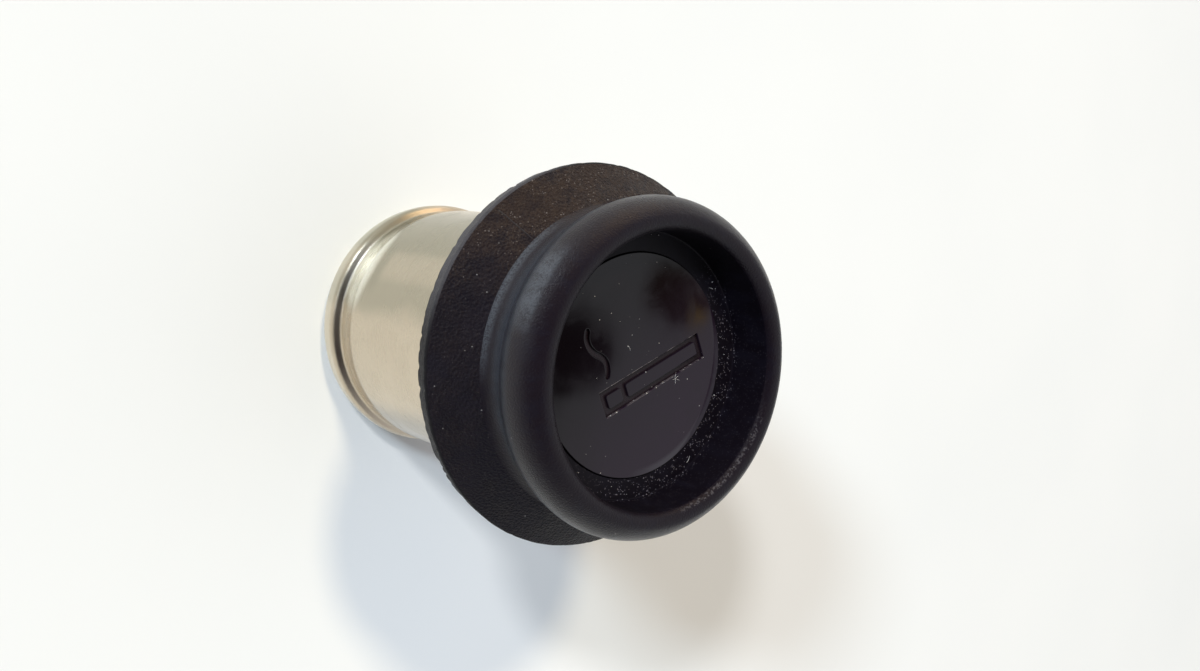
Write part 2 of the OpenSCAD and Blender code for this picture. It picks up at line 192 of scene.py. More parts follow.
def grainedPlastic():  # spark-eroded texture on the flared skirt
    material, finish = newFinish("knobGrain")
    spot = finish.place()
    pits = finish.cells(spot, knobLook["pitSize"])
    fine = finish.noise(spot, knobLook["fineSize"], 2, 0.6)
    patch = finish.noise(spot, 1.6, 4, 0.6, 0.6)
    broad = finish.noise(spot, 3.4, 3, 0.55)
    height = pits * 0.7 + fine * 0.6
    peaks = finish.fade(fine + pits * 0.35, 0.60, 0.82)
    paintedSheen = finish.fade(patch, 0.28, 0.58) * peaks
    x, y, z = finish.axes(spot)
    side = finish.fade(x, -11.5, -1.5, 1, 0.1)  # painted light: 1 on the side the warm lamps light, fading away from it
    # painted light: a warm sheen on the grain's peaks, a brown tint and painted glints on the lit side, and a bluish
    # tint on the other side
    tone = finish.blend(paintedSheen * side * 0.9, knobLook["body"], knobLook["warmSheen"])
    tone = finish.blend(finish.fade(broad, 0.4, 0.62) * (1 - side) * 0.6, tone, knobLook["bluish"])
    tone = finish.blend(finish.fade(patch + broad * 0.6, 0.5, 1.0) * side * 0.8, tone, knobLook["brown"])
    glints = finish.fade(finish.cellTone(spot, knobLook["glintSize"]), 0.970, 0.985) * finish.fade(patch, 0.42, 0.6)
    tone = finish.blend(glints * side * 0.7, tone, knobLook["glint"])
    dusty = dustMask(finish, spot, 0.34, 0.08)
    tone = finish.blend(dusty * 0.8, tone, knobLook["dust"])
    rough = finish.fade(broad, 0.3, 0.7, 0.42, 0.56) - glints * 0.2
    finish.surface(Base_Color=tone, Roughness=rough, Specular_IOR_Level=0.18,
                   Normal=finish.bump(height, 1.0, knobLook["pitDepth"]))
    return material


def satinBase(finish, spot, tint, grain):  # fine grain, broad unevenness, smears, and the tint with bluish smears in it
    fine = finish.noise(spot, grain, 2, 0.6)
    broad = finish.noise(spot, 3.4, 3, 0.5, 0.4)
    smear = finish.noise(finish.stretch(spot, (1, 1, 0.35)), 1.1, 4, 0.6, 0.6)
    return fine, broad, smear, finish.blend(finish.fade(smear, 0.4, 0.75, 0, 0.55), tint, knobLook["bluish"])


def satinPlastic(name, tint, rough, grain, depth, specular, specks=0.05, flecks=0.0):
    material, finish = newFinish(name)
    spot = finish.place()
    fine, broad, smear, tone = satinBase(finish, spot, tint, grain)
    if flecks:
        fleck = finish.fade(finish.cellTone(spot, knobLook["fleckSize"]), 1 - flecks, 1 - flecks * 0.6)
        x, y, z = finish.axes(spot)
        fleck = fleck * finish.fade(x * 0.5 + y + broad * 6, 1.5, 10) * finish.fade(z, 29.75, 30.3, 0.8, 0.1)
        tone = finish.blend(fleck, tone, knobLook["fleck"])
    dusty = dustMask(finish, spot, 0.42, specks)
    tone = finish.blend(dusty * 0.8, tone, knobLook["dust"])
    finish.surface(Base_Color=tone, Roughness=finish.fade(broad + smear * 0.4, 0.45, 0.95, *rough),
                   Specular_IOR_Level=specular, Normal=finish.bump(fine + broad * 0.15, 0.8, depth))
    return material


ringLook = {
    # pale and lipPale are painted highlight tones
    "plain": (0.0076, 0.0050, 0.0076), "pale": (0.050, 0.054, 0.064), "towards": (-0.342, -0.940, 0),
    "flank": (30.2, 31.6, 32.15, 32.65), "coveEdge": (26.95, 27.05, 27.2, 27.7), "outside": (10.7, 10.85),
    "crease": (0.021, 0.023, 0.030), "creaseAt": (27.6, 28.3, 30.8, 31.5),
    "lipPale": (0.050, 0.045, 0.050), "lipTowards": (0.643, 0.766, 0), "lipIn": (10.0, 10.15), "lipUp": (33.1, 33.3),
    "rough": (0.27, 0.38), "grain": 0.13, "depth": 0.058,
}


def ringPlastic():  # the cove and the ring, with painted highlights on the flank, on the cove's edge and along the lip
    material, finish = newFinish("knobSatin")
    spot = finish.place()
    x, y, z = finish.axes(spot)
    radius = (x * x + y * y) ** 0.5
    fine, broad, smear, tone = satinBase(finish, spot, ringLook["plain"], ringLook["grain"])
    outside = finish.fade(radius, *ringLook["outside"])
    facing = finish.facing(spot, ringLook["towards"]) / radius
    # painted highlight: a pale, mottled band on the flank and on the cove's edge, on one side
    flank = finish.band(z, *ringLook["flank"]) * finish.fade(facing, 0.950, 0.998)
    edge = finish.band(z, *ringLook["coveEdge"]) * outside * finish.fade(facing, 0.78, 0.97)
    paintedSheen = flank * finish.fade(fine * 0.6 + smear * 0.4, 0.38, 0.58, 0.3, 1)
    paintedSheen = paintedSheen + edge * finish.fade(fine, 0.35, 0.6, 0.35, 1)
    # painted highlight: pale specks along the lip's inner edge, on one side
    across = finish.facing(spot, ringLook["lipTowards"]) / radius
    lip = (1 - finish.fade(radius, *ringLook["lipIn"])) * finish.fade(z, *ringLook["lipUp"])
    lip = lip * finish.fade(across, 0.80, 0.96) * finish.fade(finish.cellTone(spot, 0.11), 0.55, 0.8)
    crease = finish.band(z, *ringLook["creaseAt"]) * outside
    tone = finish.blend(crease * finish.fade(smear, 0.3, 0.6, 0.55, 0.9), tone, ringLook["crease"])
    tone = finish.blend(paintedSheen, tone, ringLook["pale"])
    tone = finish.blend(lip, tone, ringLook["lipPale"])
    tone = finish.blend(dustMask(finish, spot, 0.42, 0.025) * 0.8, tone, knobLook["dust"])
    finish.surface(Base_Color=tone, Roughness=finish.fade(broad + smear * 0.4, 0.45, 0.95, *ringLook["rough"]),
                   Specular_IOR_Level=0.27, Normal=finish.bump(fine + broad * 0.15, 0.8, ringLook["depth"]))
    return material


rimLook = {
    # pale is a painted highlight tone
    "plain": (0.0085, 0.0075, 0.0090), "pale": (0.050, 0.047, 0.052), "towards": (-0.574, -0.819, 0),
    "grain": 0.12, "depth": 0.06,
}


def rimPlastic():  # the rim's outside, with a painted highlight: paler on one side
    material, finish = newFinish("knobRim")
    spot = finish.place()
    fine = finish.noise(spot, rimLook["grain"], 3, 0.6)
    scuff = finish.noise(finish.stretch(spot, (1, 1, 2.5)), 0.45, 4, 0.65)
    facing = finish.facing(spot, rimLook["towards"]) / knob["rimR"]
    paintedSheen = finish.fade(facing, 0.77, 0.97) * finish.fade(scuff, 0.30, 0.55, 0.55, 1)
    tone = finish.blend(paintedSheen, rimLook["plain"], rimLook["pale"])
    tone = finish.blend(dustMask(finish, spot, 0.42, 0.05) * 0.8, tone, knobLook["dust"])
    finish.surface(Base_Color=tone, Roughness=finish.fade(scuff, 0.3, 0.7, 0.42, 0.58), Specular_IOR_Level=0.12,
                   Normal=finish.bump(fine, 1.0, rimLook["depth"]))
    return material


faceLook = {
    "ink": (0.0040, 0.0024, 0.0038), "film": (0.0130, 0.0064, 0.0140), "smudge": (0.0085, 0.0058, 0.0085),
    "speck": (0.42, 0.40, 0.38), "dish": 0.0062,
    "rimFilm": (0.036, 0.032, 0.041), "rimTowards": (0.40, 0.917, 0),
    # cutEdge and cutFar are painted highlight tones on the sign's long edges
    "cut": (0.0135, 0.0078, 0.0108), "cutEdge": (0.055, 0.045, 0.050), "cutFar": (0.19, 0.165, 0.17),
    "farSide": (-0.829, -0.559, 0),
}


def glossBlack():  # the face insert: dished a little, with a film of dust towards one side
    material, finish = newFinish("glossBlack")
    spot = finish.place()
    x, y, z = finish.axes(spot)
    wave = finish.noise(spot, 4.2, 1, 0.4)
    cloud = finish.noise(spot, 2.2, 4, 0.6, 0.8)
    film = finish.fade(x * 0.55 + y * 0.83 + cloud * 3, -3.5, 9.5)
    dusty = dustMask(finish, spot, 0.30, 0.05)
    spread = x * x + y * y
    radius = spread ** 0.5
    facing = finish.facing(spot, faceLook["rimTowards"]) / radius
    rimmed = finish.fade(radius, 7.4, 7.8) * finish.fade(facing, 0.5, 0.85)
    tone = finish.blend(film, faceLook["ink"], faceLook["film"])
    tone = finish.blend(finish.fade(cloud, 0.45, 0.75) * 0.35, tone, faceLook["smudge"])
    tone = finish.blend(rimmed * finish.fade(cloud, 0.3, 0.6, 0.75, 1), tone, faceLook["rimFilm"])
    tone = finish.blend(dusty * 0.85, tone, faceLook["speck"])
    rough = finish.fade(cloud, 0.35, 0.75, 0.045, 0.085) + dusty * 0.4
    dish = finish.bump(spread * faceLook["dish"], 1.0, 1.0)
    finish.surface(Base_Color=tone, Roughness=rough, Specular_IOR_Level=0.44,
                   Normal=finish.bump(wave, 0.25, 0.02, dish))
    return material


def signCut():  # the floor of the sign's grooves, duller than the face round it
    material, finish = newFinish("signCut")
    spot = finish.place()
    fine = finish.noise(spot, 0.12, 3, 0.6)
    tone = finish.blend(finish.fade(fine, 0.35, 0.7) * 0.5, faceLook["cut"], faceLook["ink"])
    tone = finish.blend(dustMask(finish, spot, 0.26, 0.10) * 0.7, tone, faceLook["speck"])
    finish.surface(Base_Color=tone, Roughness=finish.fade(fine, 0.3, 0.7, 0.22, 0.34), Specular_IOR_Level=0.30,
                   Normal=finish.bump(fine, 0.4, 0.01))
    return material


def signEdge():  # the long edges of the sign: painted highlights on them, broken up, with dust specks caught on them
    material, finish = newFinish("signEdge")
    spot = finish.place()
    broken = finish.noise(spot, 0.9, 3, 0.6)
    grit = finish.cellTone(spot, 0.09)
    # one long edge gets a brighter painted highlight than the other
    aslant = finish.facing(spot, faceLook["farSide"])
    tone = finish.blend(finish.fade(aslant, -1.6, -1.0), faceLook["cutEdge"], faceLook["cutFar"])
    tone = finish.blend(finish.fade(broken, 0.38, 0.6), faceLook["film"], tone)
    tone = finish.blend(finish.fade(grit, 0.90, 0.94) * finish.fade(broken, 0.42, 0.6), tone, faceLook["speck"])
    finish.surface(Base_Color=tone, Roughness=finish.fade(grit, 0.2, 0.8, 0.3, 0.5), Specular_IOR_Level=0.4)
    return material


def drawnMarks(finish):  # height, angle and the metal's unevenness: marks, broad, mottled, pitted
    spot = finish.place()
    x, y, z = finish.axes(spot)
    angle = finish.node("Math", {"operation": "ARCTAN2"}, {0: y, 1: x})
    # drawing marks run round the shell, so the noise is stretched along the circle
    ringwise = finish.node("CombineXYZ", None, {0: (x * x + y * y) ** 0.5 * 0.4, 1: angle * 1.3, 2: z * 9})
    marks = finish.noise(ringwise, 1.0, 4, 0.65)
    broad = finish.noise(spot, 3.6, 4, 0.55, 0.5)
    mottle = finish.noise(spot, 0.5, 3, 0.6)
    pits = finish.fade(finish.noise(spot, 0.16, 3, 0.6), 0.66, 0.74)
    return z, angle, marks, broad, mottle, pits


def drawnMetal(name, bright, dull, rough, streak=1.0, specks=0.5):
    material, finish = newFinish(name)
    z, angle, marks, broad, mottle, pits = drawnMarks(finish)
    tone = finish.blend(finish.fade(broad * 0.7 + mottle * 0.3, 0.38, 0.7, 0, 0.7), bright, dull)
    tone = finish.blend(pits * specks, tone, (dull[0] * 0.35, dull[1] * 0.33, dull[2] * 0.28))
    finish.surface(Base_Color=tone, Metallic=1.0, Roughness=finish.fade(marks * 0.5 + broad * 0.5, 0.35, 0.65, *rough),
                   Normal=finish.bump(marks * 0.7 * streak + mottle * 0.3, 0.24, 0.012))
    return material


shellLook = {
    # the dark tone is painted shade, the brightest tone a painted highlight
    "bright": (0.655, 0.565, 0.440), "dull": (0.58, 0.50, 0.385), "dark": (0.385, 0.358, 0.276),
    "highlightTone": (0.98, 0.97, 0.86), "spotAt": (-1.98, 5.0), "spotSize": (0.38, 1.7), "rough": (0.20, 0.31),
    "pit": (0.18, 0.155, 0.10), "shade": (6.6, 7.3, 7.7, 9), "crest": (2.3, 2.9), "beadTop": (3.6, 4.6),
}


def paintedLightNickel():  # the barrel: painted shade darkens one side, and painted highlights brighten a soft spot by the bead and the bead's crest
    material, finish = newFinish("shellNickel")
    z, angle, marks, broad, mottle, pits = drawnMarks(finish)
    tone = finish.blend(finish.fade(broad * 0.7 + mottle * 0.3, 0.38, 0.7, 0, 0.6), shellLook["bright"], shellLook["dull"])
    spotAngle, spotHeight = shellLook["spotAt"]
    wide, tall = shellLook["spotSize"]
    across = angle - spotAngle
    swayed = angle + broad * 0.3 - 0.15
    # painted shade: one side of the shell darker, less so round the highlight spot
    paintedSideShade = finish.fade(swayed, -1.70, -1.47, 0.76, 0) + finish.fade(swayed, -2.25, -1.85, 0.24, 0)
    paintedSideShade = paintedSideShade * finish.fade(swayed, -2.95, -2.6)
    paintedSideShade = paintedSideShade * (1 - finish.fade(across * across, 0.0, 0.03, 0.5, 0))
    # painted shade: a darker band next to the highlight spot, on the knob's side
    paintedShadeBand = finish.fade(across * across, 0.0, 0.09, 0.8, 0) * finish.band(z, *shellLook["shade"])
    tone = finish.blend(paintedSideShade * 0.95, tone, shellLook["dark"])
    tone = finish.blend(paintedShadeBand, tone, shellLook["dark"])
    # painted highlight: a bright soft spot by the bead
    reach = across * across / (wide * wide) + (z - spotHeight) ** 2 / (tall * tall)
    reach = reach + (broad - 0.5) * 1.2 + (mottle - 0.5) * 0.3
    tone = finish.blend(finish.fade(reach, 0.2, 1.7), shellLook["highlightTone"], tone)
    # painted highlight: the bead's crest brighter all round
    tone = finish.blend(finish.fade(z, *shellLook["crest"], 0.3, 0), tone, shellLook["highlightTone"])
    tone = finish.blend(pits * 0.45, tone, shellLook["pit"])
    rough = finish.fade(marks * 0.5 + broad * 0.5, 0.35, 0.65, *shellLook["rough"])
    rough = rough + finish.fade(z, *shellLook["beadTop"], 0.09, 0)
    finish.surface(Base_Color=tone, Metallic=1.0, Roughness=rough,
                   Normal=finish.bump(marks * 0.7 + mottle * 0.3, 0.24, 0.012))
    return material


innerLook = {
    "steatite": [(0.72, 0.69, 0.61), (0.60, 0.56, 0.47)],
    "mica": [(0.34, 0.25, 0.13), (0.52, 0.42, 0.26)], "micaSplit": (0.16, 0.11, 0.07),
    "heated": [(0.0, (0.20, 0.17, 0.15)), (0.35, (0.13, 0.085, 0.06)),
               (0.6, (0.10, 0.075, 0.085)), (1.0, (0.22, 0.19, 0.16))],
}


def ceramicFinish():
    material, finish = newFinish("steatite")
    spot = finish.place()
    fine = finish.noise(spot, 0.22, 4, 0.6)
    tone = finish.blend(finish.fade(finish.noise(spot, 2.4, 3, 0.5), 0.35, 0.7), *innerLook["steatite"])
    finish.surface(Base_Color=tone, Roughness=finish.fade(fine, 0.3, 0.7, 0.55, 0.8),
                   Normal=finish.bump(fine, 0.6, 0.02))
    return material


def micaFinish():
    material, finish = newFinish("mica")
    spot = finish.place()
    flake = finish.cellTone(finish.stretch(spot, (1, 1, 6)), 0.55)
    layer = finish.noise(finish.stretch(spot, (1, 1, 14)), 0.8, 3, 0.6)
    tone = finish.blend(finish.fade(flake, 0.2, 0.8), *innerLook["mica"])
    tone = finish.blend(finish.fade(layer, 0.5, 0.8) * 0.6, tone, innerLook["micaSplit"])
    finish.surface(Base_Color=tone, Roughness=finish.fade(flake, 0, 1, 0.28, 0.5),
                   Coat_Weight=0.3, Normal=finish.bump(layer, 0.5, 0.02))
    return material


def heatedAlloy():  # the glowing ribbon's metal, cold: brown and violet scale
    material, finish = newFinish("coilAlloy")
    spot = finish.place()
    x, y, z = finish.axes(spot)
    scale = finish.noise(spot, 0.3, 4, 0.65)
    rings = (x * x + y * y) ** 0.5 * 0.13 + scale * 0.25
    tint = finish.node("ValToRGB", {"stops": innerLook["heated"]}, {"Fac": rings})
    finish.surface(Base_Color=tint, Metallic=0.85, Roughness=finish.fade(scale, 0.3, 0.7, 0.4, 0.65),
                   Normal=finish.bump(scale, 0.5, 0.02))
    return material


finishes = {
    "grain": grainedPlastic(),
    "satin": ringPlastic(),
    "rim": rimPlastic(),
    "edge": satinPlastic("knobEdge", (0.0035, 0.0030, 0.0038), (0.5, 0.65), grain=0.12, depth=0.03, specular=0.06),
    "wall": satinPlastic("knobWall", (0.0042, 0.0030, 0.0052), (0.34, 0.46), grain=0.09, depth=0.008, specular=0.15,
                         specks=0.02, flecks=0.04),
    "seam": satinPlastic("knobSeam", (0.020, 0.016, 0.016), (0.35, 0.5), grain=0.08, depth=0.012, specular=0.5),
    "gloss": glossBlack(),
    "cut": signCut(),
    "cutEdge": signEdge(),
    "shell": paintedLightNickel(),
    "nickel": drawnMetal("nickel", (0.62, 0.565, 0.455), (0.52, 0.46, 0.355), (0.19, 0.31)),
    "plainSteel": drawnMetal("plainSteel", (0.56, 0.55, 0.53), (0.42, 0.41, 0.39), (0.28, 0.42), streak=1.2),
    "springSteel": drawnMetal("springSteel", (0.44, 0.44, 0.45), (0.30, 0.30, 0.31), (0.25, 0.40), streak=0.5),
    "yellowZinc": drawnMetal("yellowZinc", (0.72, 0.58, 0.30), (0.60, 0.50, 0.34), (0.22, 0.36), streak=0.8),
    "heatSteel": drawnMetal("heatSteel", (0.50, 0.46, 0.40), (0.34, 0.27, 0.21), (0.30, 0.48), specks=0.8),
    "steatite": ceramicFinish(),
    "mica": micaFinish(),
    "coil": heatedAlloy(),
}
print("finishes made:", len(finishes))


# meshes

def arc(centreR, centreZ, radius, start, end, steps=12):
    turn = [math.radians(start + (end - start) * k / steps) for k in range(steps + 1)]
    return [(centreR + radius * math.cos(a), centreZ + radius * math.sin(a)) for a in turn]


# corners of a closed outline given as (r, z, radius) are rounded; plain (r, z) points stay
def rounded(points, steps=5):
    made, count = [], len(points)
    for k, point in enumerate(points):
        if len(point) == 2:
            made.append(Vector(point))
            continue
        here = Vector(point[:2])
        before = (Vector(points[k - 1][:2]) - here)
        after = (Vector(points[(k + 1) % count][:2]) - here)
        radius = point[2]
        half = before.angle(after) / 2
        cut = min(radius / math.tan(half), before.length * 0.49, after.length * 0.49)
        start, end = here + before.normalized() * cut, here + after.normalized() * cut
        reach = cut * math.tan(half)
        centre = here + (before.normalized() + after.normalized()).normalized() * math.hypot(cut, reach)
        for s in range(steps + 1):
            t = s / steps
            chord = start.lerp(end, t) - centre
            made.append(centre + chord.normalized() * reach)
    return [tuple(p) for p in made]


def dressed(piece, body, finish, slotName, *nodes):
    for material in finish if isinstance(finish, list) else [finish]:
        piece.data.materials.append(material)
    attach(piece, body)
    if nodes:
        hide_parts(*nodes)


def linked(name, data):
    holder = bpy.data.objects.new(name, data)
    bpy.context.scene.collection.objects.link(holder)
    return holder


def placed(name, shape, sharp=None):  # the shape as a piece of the scene, smooth but for edges past the sharp angle
    mesh = bpy.data.meshes.new(name)
    shape.to_mesh(mesh)
    shape.free()
    if sharp:
        mesh.polygons.foreach_set("use_smooth", [True] * len(mesh.polygons))
        mesh.set_sharp_from_angle(angle=math.radians(sharp))
    return linked(name, mesh)


def skinned(shape, rings):  # walls from ring to ring, and a cap at both ends
    count = len(rings[0])
    for near, far in zip(rings, rings[1:]):
        for j in range(count):
            i = (j + 1) % count
            shape.faces.new((near[j], near[i], far[i], far[j]))
    shape.faces.new(rings[0][::-1])
    shape.faces.new(rings[-1])


def revolved(name, profile, segments=224, sharp=40, paint=None):
    shape = bmesh.new()
    rings = []
    for k in range(segments):
        a = 2 * math.pi * k / segments
        rings.append([shape.verts.new((r * mm * math.cos(a), r * mm * math.sin(a), z * mm)) for r, z in profile])
    count = len(profile)
    for k in range(segments):
        near, far = rings[k], rings[(k + 1) % segments]
        for j in range(count):
            i = (j + 1) % count
            if profile[j][0] < 1e-6 and profile[i][0] < 1e-6:
                continue
            face = shape.faces.new((near[j], far[j], far[i], near[i]))
            if paint:
                face.material_index = paint((profile[j][0] + profile[i][0]) / 2,
                                            (profile[j][1] + profile[i][1]) / 2)
    bmesh.ops.remove_doubles(shape, verts=shape.verts, dist=1e-8)
    bmesh.ops.dissolve_degenerate(shape, edges=shape.edges, dist=1e-9)
    bmesh.ops.recalc_face_normals(shape, faces=shape.faces)
    return placed(name, shape, sharp)


def buildKnob():
    k = knob
    coveX, coveZ = k["coveAt"]
    ringX, ringZ = k["ringAt"]
    lipX, lipZ = k["lipAt"]
    coveStart = math.degrees(math.atan2(k["coneTop"] - coveZ, k["coneR"] - coveX))
    lipAngle = math.degrees(math.atan2(lipZ - ringZ, lipX - ringX))
    # a small round leads from the waist up into the ring
    blendX = k["waist"] + k["blendR"]
    blendZ = ringZ - math.sqrt((k["ringR"] + k["blendR"]) ** 2 - (blendX - ringX) ** 2)
    blendAngle = math.degrees(math.atan2(ringZ - blendZ, ringX - blendX))
    corners = [
        (k["seatR"], k["floor"], 0.05),
        (k["seatR"], k["seat"], 0.03),
        (k["pocketR"], k["seat"], 0.1),
        (k["pocketR"], k["pocket"], 0.1),
        (k["holeR"], k["pocket"], 0.05),
        (k["holeR"], k["hub"], 0.15),
        (k["hubR"], k["hub"], 0.3),
        (k["hubR"], k["web"], 0.25),
        (k["boreR"], k["web"], 1.54),
        (k["boreR"], k["boreFoot"], 0.1),
        (k["skirtR"], k["skirtFoot"], 0.3),
        (k["skirtR"], k["rear"], 0.12),
        (k["rearR"], k["rear"], k["rimEdge"]),
        (k["rimR"], k["rim"], k["shoulder"]),
    ]
    corners += arc(coveX, coveZ, k["coveR"], coveStart + 360, 180, 22)
    corners += arc(blendX, blendZ, k["blendR"], 180, blendAngle, 8)
    corners += arc(ringX, ringZ, k["ringR"], blendAngle - 180, lipAngle, 44)[1:]
    corners += arc(lipX, lipZ, k["lipR"], lipAngle, 180, 16)[1:]
    corners.append((k["recessR"], k["floor"], 0.12))

    zones = ["grain", "satin", "rim", "wall", "edge"]

    def zone(r, z):  # which finish a place on the knob has
        if z > k["floor"] - 0.05 and r < k["recessR"] + 0.08:
            return "wall"
        if r > k["boreR"] + 0.01 and z > k["coneTop"] + 0.002:
            return "satin"
        if r > k["rearR"] - 0.12 and z < k["rear"] + 0.2:
            return "edge"
        if r > k["rearR"] - 0.16 and z < k["rim"] + 0.2:
            return "rim"
        return "grain" if r > k["coneR"] - 0.05 and z > k["rim"] else "satin"

    piece = revolved("knobBody", rounded(corners), 440, 50, lambda r, z: zones.index(zone(r, z)))
    # the moulded rim isn't cleanly cut: shallow nicks and burrs round its rear edge
    for vertex in piece.data.vertices:
        here = vertex.co / mm
        if here.xy.length > k["rearR"] - 0.32 and here.z < k["rim"] + 0.2:
            fade = min(1, (k["rim"] + 0.2 - here.z) / 0.8)
            swell = noise.noise(Vector((here.x * 1.1, here.y * 1.1, 0))) * k["wave"]
            wear = swell + min(0, noise.noise(Vector((here.x * 2.3, here.y * 2.3, 4))) + 0.12) * k["nickDepth"]
            vertex.co.xy *= 1 + fade * wear / here.xy.length
            if here.z < k["rear"] + 0.3:
                vertex.co.z -= min(0, wear) * 0.8 * mm
    dressed(piece, "plunger", [finishes[name] for name in zones], "knob_plastic", "knob")


knobSeam = {"azimuths": (-129, 51), "width": 0.10, "height": 0.045, "from": 0.14, "to": 0.97, "steps": 40}


def buildSeams():  # the mould's parting line, left as a thin raised thread on the flare
    k, line = knob, knobSeam
    slope = Vector((k["coneR"] - k["rimR"], k["coneTop"] - k["rim"]))
    out = Vector((slope.y, -slope.x)).normalized()
    shape = bmesh.new()
    for azimuth in line["azimuths"]:
        a = math.radians(azimuth)
        radial, across = Vector((math.cos(a), math.sin(a), 0)), Vector((-math.sin(a), math.cos(a), 0))
        rings = []
        for step in range(line["steps"] + 1):
            t = line["from"] + (line["to"] - line["from"]) * step / line["steps"]
            foot = Vector((k["rimR"], k["rim"])) + slope * t
            swell = 0.6 + 0.4 * noise.noise(Vector((t * 9, azimuth, 0)))
            drift = 0.05 * noise.noise(Vector((t * 4, azimuth, 7)))
            taper = min(1, step / 3, (line["steps"] - step) / 3)
            ring = []
            for side, lift in ((-1, -0.03), (-0.45, 1), (0.45, 1), (1, -0.03)):
                high = line["height"] * lift * swell * (taper if lift > 0 else 1)
                spot = foot + out * high
                ring.append(shape.verts.new((radial * spot.x + Vector((0, 0, spot.y))
                                             + across * (side * line["width"] / 2 + drift)) * mm))
            rings.append(ring)
        skinned(shape, rings)
    bmesh.ops.recalc_face_normals(shape, faces=shape.faces)
    dressed(placed("knobSeams", shape), "plunger", finishes["seam"], "knob_plastic")


buildKnob()
buildSeams()
print("knob built")


barrel = {
    "wall": 0.5, "bodyR": 10.1, "front": 23.7, "cornerR": 1.2, "holeR": 7.2, "frontR": 8.0,
    "crestR": 10.42, "crestZ": 2.6, "footR": 9.05, "shoulderR": 0.8, "slope": 48, "flank": 0.22, "waistBend": 0.5,
    "waistEnd": 5.9,
    "waistEase": [(0.5, 0), (0.2, 0.008), (-0.1, 0.03)],  # above the waist's end, and how far in from the wall
    "heights": (18, 13, 9),
    "lip": [(8.93, 0.02), (8.87, 0.1), (8.85, 0.26), (8.87, 0.42)],
}


def barrelSide(w, steps):  # the shell's outside for w = 0, its inside for w = the wall
    b = barrel
    side = arc(b["bodyR"] - b["cornerR"], b["front"] - b["cornerR"], b["cornerR"] - w, 90, 0, steps)
    side += [(b["bodyR"] - w, z) for z in b["heights"]]
    # the shell draws in behind its bead and comes back out in a soft edge
    side += [(b["bodyR"] - w - inward, b["waistEnd"] + above) for above, inward in b["waistEase"]]
    slope = math.radians(b["slope"])
    lowZ = b["crestZ"] + (b["shoulderR"] + b["waistBend"]) * math.sin(slope) + b["flank"] * math.cos(slope)
    drop = (b["shoulderR"] + b["waistBend"]) * (1 - math.cos(slope)) + b["flank"] * math.sin(slope)
    low = b["crestR"] - drop
    above, inward = b["waistEase"][-1]
    side += [(low + (b["bodyR"] - inward - low) * t * t - w, lowZ + (b["waistEnd"] + above - lowZ) * t)
             for t in (0.8, 0.6, 0.4, 0.2)]
    side += arc(low + b["waistBend"], lowZ, b["waistBend"] + w, 180, 180 + b["slope"], steps)
    side += arc(b["crestR"] - b["shoulderR"], b["crestZ"], b["shoulderR"] - w, b["slope"], 0, steps)
    tall, wide = b["crestZ"] - w, b["crestR"] - b["footR"] - w
    for k in range(1, steps * 2 + 1):
        a = math.radians(-90 * k / (steps * 2))
        side.append((b["footR"] + wide * math.cos(a), b["crestZ"] + tall * math.sin(a)))
    return side


def buildBarrel():
    b = barrel
    back = b["front"] - b["wall"]  # the turned-in front's inner side
    profile = [(b["holeR"] + 0.05, b["front"]), (b["frontR"], b["front"])] + barrelSide(0, 12) + b["lip"]
    profile += barrelSide(b["wall"], 8)[::-1] + [(b["frontR"], back), (b["holeR"] + 0.05, back)]
    profile += [(b["holeR"], back + 0.05), (b["holeR"], b["front"] - 0.05)]
    dressed(revolved("barrelShell", profile, 288, 40), "barrel_group", finishes["shell"], "nickel", "barrel")


buildBarrel()
print("barrel built")


# the sign cut into the face: a long box with a cigarette in it, and a wisp of smoke
sign = {
    "centre": (0.40, 1.70), "turn": 124.0, "length": 9.8, "width": 1.95, "groove": 0.46,
    "tip": 1.40, "depth": 0.09, "edge": 0.065, "wispWidth": 0.40,
    "wisp": [(-1.72, -4.95), (-1.20, -4.86), (-0.70, -4.50), (-0.36, -3.95), (-0.20, -3.30),
             (0.10, -2.80), (0.62, -2.52), (1.05, -2.45)],
}
disc = {"radius": 8.08, "top": 29.8, "seat": 29.0, "bossR": 4.14, "bossZ": 28.5, "sides": 360, "inset": 0.01}


def smoothPath(points, steps):  # a curve through the points
    made = []
    for k in range(len(points) - 1):
        p0 = Vector(points[max(k - 1, 0)])
        p1, p2 = Vector(points[k]), Vector(points[k + 1])
        p3 = Vector(points[min(k + 2, len(points) - 1)])
        for s in range(steps):
            t = s / steps
            made.append(0.5 * (2 * p1 + (p2 - p0) * t + (2 * p0 - 5 * p1 + 4 * p2 - p3) * t * t
                               + (3 * p1 - p0 - 3 * p2 + p3) * t ** 3))
    made.append(Vector(points[-1]))
    return made


def ribbonOutline(path, width):  # both sides of a path, with round ends
    left, right = [], []
    for k, p in enumerate(path):
        along = (path[min(k + 1, len(path) - 1)] - path[max(k - 1, 0)]).normalized()
        across = Vector((-along.y, along.x)) * width / 2
        left.append(p + across)
        right.append(p - across)
    outline = list(left)
    for end in (path[-1], path[0]):
        start = outline[-1] - end
        for s in range(1, 8):
            outline.append(end + Matrix.Rotation(-math.pi * s / 8, 2) @ start)
        if end is path[-1]:
            outline += right[::-1]
    return outline


def boxOutline(length, width, along, corner=0.08):  # a rounded box on the sign's own axis
    turn = Matrix.Rotation(math.radians(sign["turn"]), 2)
    centre = Vector(sign["centre"]) + turn @ Vector((along, 0))
    points = []
    for sx, sy, first in ((1, 1, 0), (-1, 1, 90), (-1, -1, 180), (1, -1, 270)):
        for s in range(5):
            a = math.radians(first + 22.5 * s)
            points.append(centre + turn @ Vector((sx * (length / 2 - corner) + corner * math.cos(a),
                                                  sy * (width / 2 - corner) + corner * math.sin(a))))
    return points


